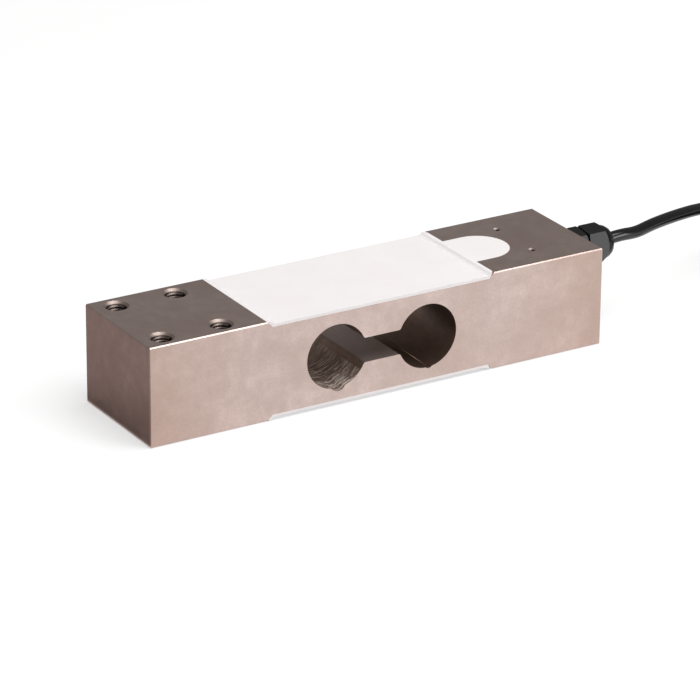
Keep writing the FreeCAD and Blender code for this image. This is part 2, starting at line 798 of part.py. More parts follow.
def cut_hexagon(body, start, length):
    """Cuts six flats on a turned blank between start and start + length."""
    sketch = new_sketch(body, "flats_outline", "YZ_Plane", start)
    flat, half_side, tip = "dim.gland_flats / 2", "dim.gland_flats / sqrt(12)", "dim.gland_flats / sqrt(3)"
    draw_polygon(
        sketch,
        [
            (half_side, f"-{flat}"),
            (tip, "0"),
            (half_side, flat),
            (f"-{half_side}", flat),
            (f"-{tip}", "0"),
            (f"-{half_side}", f"-{flat}"),
        ],
    )
    draw_circle(sketch, ("0", "0"), "dim.gland_flats * 1.3")
    add_pocket(body, "flats", sketch, length, reverse=True)


FLANGE_START = "dim.gland_washer_thickness"
FLANGE_END = "dim.gland_washer_thickness + dim.gland_flange_length"
BARREL_END = f"{FLANGE_END} + dim.gland_barrel_length"
CLAW_END = f"{BARREL_END} + dim.gland_claw_length"
NUT_START = f"{FLANGE_END} + dim.nut_gap"
NUT_HEX_END = f"{NUT_START} + dim.nut_hex_length"
NUT_END = f"{NUT_HEX_END} + dim.nut_dome_length"
SEAT_START = f"{CLAW_END} - dim.gland_seat_depth"
CORNER_RADIUS = "dim.gland_flats / sqrt(3)"


def make_gland_body():
    """Shank, hexagon, nut thread and claws, turned in one piece and bored through."""
    body = new_body("gland_body")
    sketch = new_sketch(body, "turned_outline", "XY_Plane")
    shank, bore = "dim.gland_thread_diameter / 2", "dim.gland_bore_diameter / 2"
    barrel, claw = "dim.gland_barrel_diameter / 2", "dim.gland_claw_diameter / 2"
    claw_tip, seat = "dim.gland_claw_tip_diameter / 2", "dim.gland_seat_diameter / 2"
    tip = "-dim.gland_shank_length"
    draw_polygon(
        sketch,
        [
            (tip, bore),
            (tip, f"{shank} - dim.hex_chamfer"),
            (f"{tip} + dim.hex_chamfer", shank),
            (FLANGE_START, shank),
            (FLANGE_START, f"{CORNER_RADIUS} - dim.hex_chamfer"),
            (f"{FLANGE_START} + dim.hex_chamfer / 2", CORNER_RADIUS),
            (f"{FLANGE_END} - dim.hex_chamfer / 2", CORNER_RADIUS),
            (FLANGE_END, f"{CORNER_RADIUS} - dim.hex_chamfer"),
            (FLANGE_END, barrel),
            (BARREL_END, barrel),
            (BARREL_END, claw),
            (CLAW_END, claw_tip),
            (CLAW_END, seat),
            (SEAT_START, seat),
            (SEAT_START, bore),
        ],
    )
    add_revolution(body, "turned_blank", sketch)
    cut_hexagon(body, FLANGE_START, "dim.gland_flange_length")
    slot = new_sketch(body, "claw_slot_outline", "YZ_Plane", CLAW_END)
    half = "dim.gland_claw_slot / 2"
    draw_rectangle(slot, (f"-{half}", "0"), (half, "dim.gland_barrel_diameter"))
    cut = add_pocket(body, "claw_slot", slot, "dim.gland_claw_length")
    slots = body.newObject("PartDesign::PolarPattern", "claw_slots")
    slots.Originals = [cut]
    slots.Axis = (slot, ["N_Axis"])
    slots.Angle = 360
    slots.Occurrences = 8
    body.Tip = slots
    place_on_gland_axis(body)
    return body


def make_gland_nut():
    """The clamping nut: a hexagon that runs into a dome with the cable's mouth in it."""
    body = new_body("gland_nut")
    sketch = new_sketch(body, "turned_outline", "XY_Plane")
    mouth, flat = "dim.nut_mouth_diameter / 2", "dim.gland_flats / 2"
    inside = "dim.gland_barrel_diameter / 2 + dim.nut_wall_clearance"
    cone = "dim.gland_claw_diameter / 2 + dim.nut_wall_clearance"
    throat = "dim.gland_claw_tip_diameter / 2 + dim.nut_wall_clearance"
    draw_polygon(
        sketch,
        [
            (NUT_START, inside),
            (NUT_START, f"{CORNER_RADIUS} - dim.hex_chamfer"),
            (f"{NUT_START} + dim.hex_chamfer / 2", CORNER_RADIUS),
            (f"{NUT_HEX_END} - 0.5 * dim.hex_chamfer", CORNER_RADIUS),
            (f"{NUT_HEX_END} + 0.5 * dim.hex_chamfer", flat),
            (f"{NUT_HEX_END} + 0.45 * dim.nut_dome_length", f"{flat} - 0.1 * dim.nut_dome_length"),
            (f"{NUT_HEX_END} + 0.75 * dim.nut_dome_length", f"{flat} - 0.28 * dim.nut_dome_length"),
            (f"{NUT_HEX_END} + 0.93 * dim.nut_dome_length", f"{flat} - 0.52 * dim.nut_dome_length"),
            (NUT_END, f"{mouth} + 0.3 * dim.nut_dome_length / 2"),
            (NUT_END, mouth),
            (f"{CLAW_END} + 1.2", mouth),
            (f"{CLAW_END} + 0.3", throat),
            (CLAW_END, throat),
            (f"{BARREL_END} + 0.3", cone),
            (f"{BARREL_END} + 0.3", inside),
        ],
    )
    add_revolution(body, "turned_blank", sketch)
    cut_hexagon(body, NUT_START, f"{NUT_HEX_END} + 0.5 * dim.hex_chamfer - ({NUT_START})")
    place_on_gland_axis(body)
    return body


def make_gland_washer():
    body = new_body("gland_washer")
    sketch = new_sketch(body, "ring", "YZ_Plane")
    draw_circle(sketch, ("0", "0"), "dim.gland_washer_diameter")
    draw_circle(sketch, ("0", "0"), "dim.gland_thread_diameter + 2 * dim.gland_thread_clearance")
    add_pad(body, "washer", sketch, "dim.gland_washer_thickness")
    place_on_gland_axis(body)
    return body


def make_gland_seal():
    """The rubber bush that the claws squeeze onto the cable."""
    body = new_body("gland_seal")
    sketch = new_sketch(body, "turned_outline", "XY_Plane")
    outer = "dim.gland_seat_diameter / 2 - dim.seal_clearance"
    inner = "dim.cable_diameter / 2"
    end = f"{CLAW_END} - 0.2"
    draw_polygon(
        sketch,
        [
            (SEAT_START, inner),
            (SEAT_START, outer),
            (f"{end} - 0.8", outer),
            (end, f"{outer} - 0.5"),
            (end, inner),
        ],
    )
    add_revolution(body, "bush", sketch)
    place_on_gland_axis(body)
    return body


# ---------------------------------------------------------------- cable inside the cell

def make_cable_inner():
    """The sheathed stretch from the wiring pocket to the gland's mouth."""
    cable = doc.addObject("Part::Cylinder", "cable_inner")
    cable.Label = "cable_inner"
    nose = "dim.recess_length / 2 + dim.tongue_reach"
    start = f"{nose} - dim.pocket_ledge - dim.cable_strip_setback"
    cable.Placement = Placement(Vector(0, 0, 0), Rotation(Vector(0, 1, 0), 90))
    cable.setExpression("Placement.Base.x", start)
    cable.setExpression("Placement.Base.y", "dim.gland_offset")
    cable.setExpression("Placement.Base.z", "dim.gland_height")
    cable.setExpression("Radius", "dim.cable_diameter / 2")
    cable.setExpression("Height", f"dim.body_length / 2 + {NUT_END} - ({start})")
    return cable


def make_inner_cores():
    """The four cores, from the stripped cable down to their pads on the board."""
    start_x = value(
        "dim.recess_length / 2 + dim.tongue_reach - dim.pocket_ledge - dim.cable_strip_setback"
    )
    pad_x = value(board_start() + " + dim.board_length - dim.board_corner - dim.board_pad_size / 2")
    landing = board_top() + value("dim.board_pad_thickness")
    spread = value("dim.core_diameter") * 0.6
    cores = []
    for across, side, lift in zip(core_pads(), (-1, -1, 1, 1), (-1, 1, 1, -1)):
        y = value("dim.gland_offset") + side * spread
        z = value("dim.gland_height") + lift * spread
        route = [
            Vector(start_x, y, z),
            Vector(start_x - 1.6, y, z),
            Vector(pad_x, across, landing + 2.6 + lift * 0.8),
            Vector(pad_x, across, landing),
        ]
        cores.append(bent_tube(route, value("dim.core_diameter"))[0])
    return add_solid("inner_cores", Part.makeCompound(cores))


# ---------------------------------------------------------------- free cable

def coil_point(radius, turn, height):
    """A point of the coil: turn is in degrees, anticlockwise from +X, seen from above."""
    angle = math.radians(turn)
    centre = Vector(value("dim.coil_centre_along"), value("dim.coil_centre_across"), height)
    return centre + Vector(math.cos(angle), math.sin(angle), 0) * radius


# The cable's route: it starts just inside the gland's mouth, where it is trimmed to the nut,
# then turns away and sags down to the coil's top layer.
RUN_POINTS = [
    (117.8, -1.6, 31.75),
    (127.5, -0.5, 32.3),
    (138, 0.4, 32.1),
    (154, 4.8, 31.7),
    (171, 9.8, 30.2),
    (188, 16, 26.9),
    (205, 22.5, 21.6),
    (221, 25.8, 18.1),
    (237, 25.4, 17.5),
]

# The last stretch, off the coil's bottom layer: how far outside the outer lane, the turn and
# the height of each point.
TAIL_STEPS = [
    (-1.1, -84, 2.5),
    (5.6, -101.5, 2.5),
    (10.4, -118, 2.9),
    (13.4, -134, 2.9),
]


def tail_points():
    lane = value(f"{RING_OUTSIDE} - dim.cable_diameter / 2")
    return [coil_point(lane + out, turn, height) for out, turn, height in TAIL_STEPS]


BUNDLE_HEIGHT = "dim.coil_layers * dim.cable_diameter"
RING_INSIDE = "(dim.coil_mean_radius - dim.coil_ring_width / 2)"
RING_OUTSIDE = "(dim.coil_mean_radius + dim.coil_ring_width / 2)"


def make_ring():
    """The coiled spare length as one ring of its outer shape."""
    body = new_body("coil_ring")
    sketch = new_sketch(body, "bundle_section", "XZ_Plane")
    draw_rectangle(sketch, (RING_INSIDE, "0"), (RING_OUTSIDE, BUNDLE_HEIGHT))
    add_revolution(body, "ring", sketch, "V_Axis")
    add_edge_feature(body, "Fillet", "rounded_edges", lambda edge: edge.Closed, "dim.coil_edge_radius")
    body.setExpression("Placement.Base.x", "dim.coil_centre_along")
    body.setExpression("Placement.Base.y", "dim.coil_centre_across")
    return body


def upright_cylinder(name, radius, base, height):
    """A cylinder about the coil's axis, with its radius, base and height as formulas."""
    cylinder = doc.addObject("Part::Cylinder", name)
    cylinder.setExpression("Radius", radius)
    cylinder.setExpression("Height", height)
    cylinder.setExpression("Placement.Base.x", "dim.coil_centre_along")
    cylinder.setExpression("Placement.Base.y", "dim.coil_centre_across")
    cylinder.setExpression("Placement.Base.z", base)
    return cylinder


def part_boolean(kind, label, base, tool):
    result = doc.addObject(kind, label)
    result.Label = label
    result.Base = base
    result.Tool = tool
    return result


def make_tie_wedge():
    """The stretch of ring that the tie takes up, without the pinched cable inside it."""
    reach = "dim.coil_mean_radius + dim.coil_ring_width"
    full_height = f"{BUNDLE_HEIGHT} + 2 * dim.tie_thickness"
    wedge = upright_cylinder("tie_wedge", reach, "-dim.tie_thickness", full_height)
    spread = "dim.tie_width / dim.coil_mean_radius * 1rad"
    wedge.setExpression("Angle", spread)
    wedge.setExpression("Placement.Rotation.Angle", f"dim.tie_turn * 1deg - {spread} / 2")
    floor = "dim.tie_thickness"
    height = f"{BUNDLE_HEIGHT} - 2 * dim.tie_thickness"
    outer = upright_cylinder("pinched_outside", f"{RING_OUTSIDE} - dim.tie_thickness", floor, height)
    inner = upright_cylinder("pinched_inside", f"{RING_INSIDE} + dim.tie_thickness", floor, height)
    pinched = part_boolean("Part::Cut", "pinched_cable", outer, inner)
    return part_boolean("Part::Cut", "tie_stretch", wedge, pinched)


def free_stretch(tube):
    """The stretch of a tube between the gland's mouth and the coil's outer wall."""
    above = 10
    height = value(BUNDLE_HEIGHT) + 2 * above
    coil_space = Part.makeCylinder(value(RING_OUTSIDE), height, coil_point(0, 0, -above))
    mouth = value(f"dim.body_length / 2 + {NUT_END}")
    size = value("dim.body_length")
    cell_space = Part.makeBox(size, size, size, Vector(mouth - size, -size / 2, -size / 2))
    return tube.cut(coil_space).cut(cell_space)


def make_free_stretch(label, points):
    tube, length, radii = bent_tube(points, value("dim.cable_diameter"))
    print(label, "length", round(length, 1), "radii", radii)
    return add_solid(label, free_stretch(tube))


# The stripped end, seen along the cable: where each conductor starts in the sleeve, and how far
# it fans out sideways, positive towards the coil.
FAN = {
    "core_red": (0.85, 0.85, 1.9),
    "core_green": (0.85, -0.85, 5.2),
    "core_white": (-0.85, -0.85, -3.4),
    "core_black": (-0.85, 0.85, -0.4),
    "shield_drain": (-2, -1.2, -6.2),
}
FAN_STEPS = ((0, 0, 1), (7.5, 0.3, 0.6), (16.5, 0.75, 0), (26, 1.1, 0))
FAN_BEND = 32


def end_frame():
    """The end of the sleeve, the cable's direction there and the way to the coil's middle."""
    before, last = tail_points()[-2:]
    along = unit(Vector(last.x - before.x, last.y - before.y, 0))
    return last + along * value("dim.sleeve_length"), along, Vector(along.y, -along.x, 0)


def fan_route(side, lift, spread, radius):
    end, along, inward = end_frame()
    route = []
    for reach, share, height in FAN_STEPS:
        sideways = side * (1 - share) + spread * share + reach**2 / (2 * FAN_BEND)
        level = radius + (end.z + lift - radius) * height
        point = end + along * reach + inward * sideways
        route.append(Vector(point.x, point.y, level))
    return route


def make_sleeve():
    """Heat-shrink sleeve over the end of the sheath."""
    end, along, _ = end_frame()
    length = value("dim.sleeve_length")
    radius = value("dim.sleeve_diameter / 2")
    return add_solid("end_sleeve", Part.makeCylinder(radius, length, end - along * length, along))


def make_fan(sleeve):
    """The four cores with bare tinned tips, and the bare drain wire."""
    made, tips = [], []
    tip_length = value("dim.tip_length")
    for label, (side, lift, spread) in FAN.items():
        drain = label == "shield_drain"
        diameter = value("dim.drain_diameter" if drain else "dim.end_core_diameter")
        route = fan_route(side, lift, spread, diameter / 2)
        tube, length, radii = bent_tube(route, diameter)
        print(label, "length", round(length, 1), "radii", radii)
        made.append(add_solid(label, tube.cut(sleeve.Shape)))
        if not drain:
            along = unit(route[-1] - route[-2])
            tips.append(Part.makeCylinder(value("dim.tip_diameter / 2"), tip_length, route[-1], along))
    made.append(add_solid("tinned_tips", Part.makeCompound(tips)))
    return made


# ---------------------------------------------------------------- build

sub_parts = [make_elastic_body(), make_top_cover(), make_bottom_cover()]
for gauge_label, (gauge_end, gauge_side) in GAUGES.items():
    sub_parts.append(make_gauge(gauge_label, gauge_end, gauge_side))
sub_parts.append(make_strip("terminal_strip_top", 1))
sub_parts.append(make_strip("terminal_strip_bottom", -1))
upper_routes = gauge_to_strip_routes()
sub_parts.append(make_leads("gauge_leads_top", upper_routes + strip_to_board_routes()))
lower_routes = [mirrored_about_middle(route) for route in upper_routes]
sub_parts.append(make_leads("gauge_leads_bottom", lower_routes + passage_routes()))
sub_parts.append(make_terminal_board())
sub_parts.append(make_core_pads())
sub_parts.append(make_resistors("span_resistors", [(4.6, -3.4), (4.6, 3.4)]))
sub_parts.append(make_resistors("zero_resistor", [(7.4, 0)]))
sub_parts += [make_gland_washer(), make_gland_body(), make_gland_seal(), make_gland_nut()]
sub_parts += [make_cable_inner(), make_inner_cores()]
ring, tie_stretch = make_ring(), make_tie_wedge()
sub_parts.append(part_boolean("Part::Cut", "cable_coil", ring, tie_stretch))
sub_parts.append(part_boolean("Part::Common", "coil_tie", ring, tie_stretch))
sub_parts.append(make_free_stretch("cable_run", [Vector(*point) for point in RUN_POINTS]))
sub_parts.append(make_free_stretch("cable_tail", tail_points()))
end_sleeve = make_sleeve()
sub_parts.append(end_sleeve)
sub_parts += make_fan(end_sleeve)
doc.recompute()

for item in doc.Objects:
    if "Invalid" in item.State or "Error" in item.State:
        raise RuntimeError(f"{item.Name} failed: {item.State}")

os.makedirs("parts", exist_ok=True)
for item in sub_parts:
    if item.Shape.isNull() or not item.Shape.isValid():
        raise RuntimeError(f"{item.Label} has no valid shape")
for item in sub_parts:
    item.Shape.exportStep(f"parts/{item.Label}.step")
print(len(sub_parts), "sub-parts written")
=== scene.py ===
# %% [markdown]
# # A single point load cell
#
# The part is a long steel spring block with a binocular opening, white silicone covers over its
# strain gauges, a nylon cable gland and two metres of black cable. The construction is already
# modelled and packed, so this notebook gives the pieces their finishes, adds the threads and the
# cable, and sets up the light and the camera. Everything is in metres, +Z up, with the origin
# under the middle of the block.

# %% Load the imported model
import json
import math

import bpy
from mathutils import Matrix, Vector


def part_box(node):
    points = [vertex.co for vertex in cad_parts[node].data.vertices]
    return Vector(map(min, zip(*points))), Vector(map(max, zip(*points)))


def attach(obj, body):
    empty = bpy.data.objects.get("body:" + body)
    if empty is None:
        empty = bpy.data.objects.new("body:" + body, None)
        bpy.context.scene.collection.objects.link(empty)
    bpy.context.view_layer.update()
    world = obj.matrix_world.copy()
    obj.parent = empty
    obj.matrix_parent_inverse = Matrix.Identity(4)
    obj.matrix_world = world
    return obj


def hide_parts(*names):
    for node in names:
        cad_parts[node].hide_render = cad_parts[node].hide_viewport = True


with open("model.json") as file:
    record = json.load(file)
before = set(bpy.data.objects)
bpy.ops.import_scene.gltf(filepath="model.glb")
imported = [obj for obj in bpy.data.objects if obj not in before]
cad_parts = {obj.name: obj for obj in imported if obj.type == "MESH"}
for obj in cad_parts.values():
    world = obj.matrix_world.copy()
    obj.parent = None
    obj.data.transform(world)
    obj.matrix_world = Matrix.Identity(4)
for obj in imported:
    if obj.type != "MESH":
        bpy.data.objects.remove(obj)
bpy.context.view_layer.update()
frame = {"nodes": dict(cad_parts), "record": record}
block_low, block_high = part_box("elastic_body")
nodes = frame["nodes"]
mounts = {mount["name"]: mount for mount in frame["record"]["mounts"]}
MM = 0.001

# %% [markdown]
# ## The camera
#
# A product shot like this one is taken from a good distance with a long lens, so that the block
# keeps its proportions. A camera can be placed by its raw coordinates and three turns, or by where
# it looks, how far away it stands and its two angles. The second way is used, because each value
# then means something by itself. The small roll is the tilt that a hand-levelled tripod leaves.

# %% Camera
CAMERA_TARGET = Vector((-0.00135, -0.0037, 0.01088))
CAMERA_DISTANCE = 1.6271
CAMERA_AZIMUTH = math.radians(31.27)
CAMERA_ELEVATION = math.radians(22.912)
CAMERA_ROLL = math.radians(0.487)
SENSOR_WIDTH = 36
FOCAL_LENGTH = 218.8

camera_data = bpy.data.cameras.new("camera")
camera_data.sensor_width = SENSOR_WIDTH
camera_data.lens = FOCAL_LENGTH
camera_data.clip_end = 100
camera = bpy.data.objects.new("camera", camera_data)
bpy.context.scene.collection.objects.link(camera)
look = Vector((
    math.sin(CAMERA_AZIMUTH) * math.cos(CAMERA_ELEVATION),
    math.cos(CAMERA_AZIMUTH) * math.cos(CAMERA_ELEVATION),
    -math.sin(CAMERA_ELEVATION),
))
camera.location = CAMERA_TARGET - look * CAMERA_DISTANCE
level = look.to_track_quat("-Z", "Y").to_matrix()
camera.rotation_euler = (level @ Matrix.Rotation(CAMERA_ROLL, 3, "Z")).to_euler()
bpy.context.scene.camera = camera
print("camera at", [round(v, 3) for v in camera.location])

# %% [markdown]
# ## The way the cable goes
#
# A cable is a fixed length of something springy. This one leaves the gland level, swings out and
# sags down to its coil. The spare length lies in four layers of turns, which spiral inwards and
# outwards in turn. The run's points are listed one by one, because that is how a hand bends a cable,
# but the coil's are worked out by a loop, because a wound coil is regular. Where the tie grips the
# bundle the layers nest into each other a little, so it is thinner there.

# %% Cable route
CABLE_DIAMETER = 5 * MM
RUN = [
    (118.6, -1.5, 32.3),
    (124, -1.4, 32.9),
    (132.5, -0.5, 31.9),
    (142, 2.1, 32.7),
    (155, 5.6, 32.5),
    (171, 10.2, 31.2),
    (188, 16, 27.1),
    (205, 22.5, 21.6),
    (221, 25.8, 18.1),
    (237, 25.4, 17.5),
]
TAIL = [(40.5, -101.5, 2.5), (45.3, -118, 2.9), (48.3, -134, 2.9)]

coil_low, coil_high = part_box("cable_coil")
coil_centre = (coil_low + coil_high) / 2
coil_outside = (coil_high.x - coil_low.x) / 2
coil_height = coil_high.z
LAYERS = 4
RING_WIDTH = 18.2 * MM
ENTRY_TURN = 81.5  # degrees round the coil, where the cable comes in
TRAVEL = 10.46  # turns in the whole coil
STEP_TRAVEL = 0.2  # turns that a step down to the next layer takes
POINTS_PER_TURN = 24
FIRST_STEP = 2  # leaves room for the run to bend into the coil

tie_low, tie_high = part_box("coil_tie")
tie_middle = (tie_low + tie_high) / 2 - coil_centre
tie_turn = math.degrees(math.atan2(tie_middle.y, tie_middle.x))
TIE_THICKNESS = 0.8 * MM
TIE_GRIP = 16  # degrees from the tie at which its squeeze is halved


def pinch(turn):
    """How strongly the tie squeezes the bundle at a turn, from 0 to 1."""
    away = (turn - tie_turn + 180) % 360 - 180
    return 1 / (1 + (away / TIE_GRIP) ** 2)


def coil_level(travel):
    """How many layers down the cable has gone, with a gentle step from each layer to the next."""
    level = 0
    for boundary in range(1, LAYERS):
        step = (travel - boundary * TRAVEL / LAYERS) / STEP_TRAVEL + 0.5
        step = min(1, max(0, step))
        level += step * step * (3 - 2 * step)
    return level


def coil_point(travel):
    """The cable's place in the coil after so many turns from where it comes in."""
    layer, share = divmod(travel * LAYERS / TRAVEL, 1)
    if layer % 2:
        share = 1 - share
    outer = coil_outside - CABLE_DIAMETER / 2
    inner = coil_outside - RING_WIDTH + CABLE_DIAMETER / 2
    radius = outer + (inner - outer) * share
    turn = ENTRY_TURN - 360 * travel
    height = coil_height - CABLE_DIAMETER * (0.5 + coil_level(travel))
    squeeze = 2 * TIE_THICKNESS / (coil_height - CABLE_DIAMETER) * pinch(turn)
    height += (coil_height / 2 - height) * squeeze
    angle = math.radians(turn)
    flat = Vector((math.cos(angle), math.sin(angle), 0)) * radius
    return Vector((coil_centre.x, coil_centre.y, height)) + flat


def tail_point(radius, turn, height):
    """A place on the loose end, in millimetres and degrees about the coil's middle."""
    angle = math.radians(turn)
    flat = Vector((math.cos(angle), math.sin(angle), 0)) * radius * MM
    return Vector((coil_centre.x, coil_centre.y, height * MM)) + flat


route = [Vector(point) * MM for point in RUN]
last_step = int(TRAVEL * POINTS_PER_TURN)
route += [coil_point(step / POINTS_PER_TURN) for step in range(FIRST_STEP, last_step)]
route += [tail_point(*place) for place in TAIL]
print("cable route has", len(route), "points")

# %% [markdown]
# ## The cable itself
#
# A round cable could be a swept mesh, but a curve with a round bevel keeps the same thickness
# everywhere and stays easy to bend. The points become the control points of one open NURBS curve,
# which passes close by them and is smooth between them. Its order and its ends are set last,
# because a new spline would otherwise fall back to straight runs.

# %% Cable curve
def add_cord_curve(name, points, diameter):
    """An open NURBS curve that follows the points closely, as round as a cable."""
    data = bpy.data.curves.new(name, "CURVE")
    data.dimensions = "3D"
    data.bevel_depth = diameter / 2
    data.bevel_resolution = 5
    data.resolution_u = 4
    data.use_fill_caps = True
    spline = data.splines.new("NURBS")
    spline.points.add(len(points) - 1)
    for control, point in zip(spline.points, points):
        control.co = (*point, 1)
    spline.order_u = 3
    spline.use_endpoint_u = True
    curve = bpy.data.objects.new(name, data)
    bpy.context.scene.collection.objects.link(curve)
    return curve


cable = add_cord_curve("free_cable", route, CABLE_DIAMETER)
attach(cable, "root")
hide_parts("cable_run", "cable_coil", "cable_tail")

# %% [markdown]
# ## Working with operators
#
# New pieces are modelled the way a person would do it by hand: add a primitive, go into edit
# mode, select faces and run operators. Mesh code could do the same, but operators are what a
# learner meets in the menus. An operator acts on everything that is selected, so the helpers
# below always start from an empty selection.

# %% Modelling helpers
def start_piece(name, add_primitive, **settings):
    """Adds a primitive with nothing else selected, and names it."""
    bpy.ops.object.select_all(action="DESELECT")
    add_primitive(**settings)
    piece = bpy.context.object
    piece.name = piece.data.name = name
    return piece


def apply_modifier(piece, kind, **settings):
    """Adds a modifier, sets it and applies it at once."""
    modifier = piece.modifiers.new(kind.lower(), kind)
    for setting, value in settings.items():
        setattr(modifier, setting, value)
    bpy.context.view_layer.objects.active = piece
    bpy.ops.object.modifier_apply(modifier=modifier.name)


def settle(piece):
    """Puts the piece's place into its mesh, so that its object sits at the origin."""
    bpy.ops.object.select_all(action="DESELECT")
    piece.select_set(True)
    bpy.context.view_layer.objects.active = piece
    bpy.ops.object.transform_apply(location=True, rotation=True, scale=True)


def tidy_mesh(piece):
    """Merges doubles and turns every face outwards."""
    bpy.ops.object.select_all(action="DESELECT")
    piece.select_set(True)
    bpy.context.view_layer.objects.active = piece
    bpy.ops.object.mode_set(mode="EDIT")
    bpy.ops.mesh.select_all(action="SELECT")
    bpy.ops.mesh.remove_doubles(threshold=0.000002)
    bpy.ops.mesh.normals_make_consistent(inside=False)
    bpy.ops.object.mode_set(mode="OBJECT")


def finish_piece(piece, material):
    """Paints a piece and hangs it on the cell."""
    piece.data.materials.clear()
    piece.data.materials.append(material)
    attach(piece, "root")


# %% [markdown]
# ## Building a finish
#
# No real surface has one flat colour. A finish could be wired by hand in the node editor, but the
# same few nodes come back in every one, so a small class adds them. It starts from the Principled
# shader, whose colour, roughness and bump are varied by noise that reads Object coordinates. They
# are metres here, so a noise scale of 1000 gives patches about a millimetre wide, and the pattern
# stays put when the piece is seen from elsewhere.

# %% Node helpers
class Finish:
    """A material with a Principled shader and short ways to add nodes to it."""

    def __init__(self, name, base, metallic=0.0, roughness=0.5, **sockets):
        self.material = bpy.data.materials.new(name)
        self.material.use_nodes = True
        self.tree = self.material.node_tree
        self.shader = self.tree.nodes["Principled BSDF"]
        self.put(self.shader, "Base Color", (*base, 1))
        self.put(self.shader, "Metallic", metallic)
        self.put(self.shader, "Roughness", roughness)
        for socket, value in sockets.items():
            self.put(self.shader, socket.replace("_", " "), value)
        self.place = self.tree.nodes.new("ShaderNodeTexCoord").outputs["Object"]

    def put(self, node, socket, value):
        """Sets a socket, or links it if the value is another node's output."""
        if isinstance(value, bpy.types.NodeSocket):
            self.tree.links.new(value, node.inputs[socket])
        else:
            node.inputs[socket].default_value = value

    def node(self, kind, inputs=(), **settings):
        """Adds a node, with its settings and the values or links of its sockets."""
        made = self.tree.nodes.new(kind)
        for setting, value in settings.items():
            setattr(made, setting, value)
        for socket, value in dict(inputs).items():
            self.put(made, socket, value)
        return made

    def stretched(self, scale, turn=(0, 0, 0)):
        """Object coordinates, turned and then stretched along their own axes."""
        inputs = {"Vector": self.place, "Rotation": turn, "Scale": scale}
        return self.node("ShaderNodeMapping", inputs).outputs["Vector"]

    def noise(self, scale, detail=3, where=None, roughness=0.55):
        """Soft random patches, about one over the scale wide, in metres."""
        inputs = {
            "Vector": where or self.place,
            "Scale": scale,
            "Detail": detail,
            "Roughness": roughness,
        }
        return self.node("ShaderNodeTexNoise", inputs).outputs["Fac"]

    def ramp(self, factor, low, high, to_low=0.0, to_high=1.0):
        """Maps a factor from one range to another, held at the ends."""
        inputs = {
            "Value": factor,
            "From Min": low,
            "From Max": high,
            "To Min": to_low,
            "To Max": to_high,
        }
        return self.node("ShaderNodeMapRange", inputs).outputs["Result"]

    def blend(self, factor, first, second):
        """Mixes two colours by a factor."""
        mix = self.node("ShaderNodeMix", data_type="RGBA")
        self.put(mix, "Factor", factor)
        for index, colour in ((6, first), (7, second)):
            if isinstance(colour, bpy.types.NodeSocket):
                self.tree.links.new(colour, mix.inputs[index])
            else:
                mix.inputs[index].default_value = (*colour, 1)
        return mix.outputs[2]

    def maths(self, operation, first, second=0.0):
        """One Math node on numbers, on other nodes' outputs, or on both."""
        made = self.node("ShaderNodeMath", operation=operation)
        for index, value in ((0, first), (1, second)):
            if isinstance(value, bpy.types.NodeSocket):
                self.tree.links.new(value, made.inputs[index])
            else:
                made.inputs[index].default_value = value
        return made.outputs[0]

    def product(self, first, *others):
        """The factors multiplied together."""
        result = first
        for other in others:
            result = self.maths("MULTIPLY", result, other)
        return result

    def away_from(self, middle, value):
        """How far a coordinate is from a middle value, on either side."""
        return self.maths("ABSOLUTE", self.maths("SUBTRACT", value, middle))

    def within(self, reach, middle, value):
        """One where a coordinate is within reach of a middle value, zero elsewhere."""
        return self.maths("LESS_THAN", self.away_from(middle, value), reach)

    def bump(self, height, distance, strength=1.0, normal=None):
        """A fine relief of a real height in metres, laid over another normal if one is given."""
        inputs = {"Height": height, "Distance": distance, "Strength": strength}
        made = self.node("ShaderNodeBump", inputs)
        if normal:
            self.put(made, "Normal", normal)
        return made.outputs["Normal"]


# %% [markdown]
# ## Where the plating dulls and shade is painted
#
# Little nickel settles deep in an opening, so the walls of the two bores and of the tapped holes
# are duller than the outer faces. They are also painted darker there, as painted shade. A mask
# painted by hand would need an image, so each mask is worked out from the coordinates: it is one
# within reach of the opening or of a hole's axis, and zero elsewhere. The holes' places come from
# the imported record.

# %% Masks
MIDDLE_HEIGHT = 20 * MM
HALF_DEPTH = 25 * MM
OPENING_HALF_LENGTH = 34.6 * MM
OPENING_HALF_HEIGHT = 14.8 * MM
BOLT_RIM = 4.93 * MM
SMALL_RIM = 1.64 * MM
SKIN = 0.03 * MM  # keeps a mask off the outer face beside it


def opening_mask(finish, along, depth, height):
    """One inside the binocular opening, zero elsewhere."""
    return finish.product(
        finish.within(OPENING_HALF_LENGTH, 0, along),
        finish.within(OPENING_HALF_HEIGHT, MIDDLE_HEIGHT, height),
        finish.within(HALF_DEPTH - SKIN, 0, depth),
    )


def near_axes(finish, x_off, depth, spacing, radius):
    """One near the upright axes that are x_off away and spaced evenly across the block."""
    y_off = finish.maths("SUBTRACT", finish.maths("ABSOLUTE", depth), spacing / 2)
    squares = finish.maths("ADD", finish.product(x_off, x_off), finish.product(y_off, y_off))
    return finish.maths("LESS_THAN", finish.maths("SQRT", squares), radius)


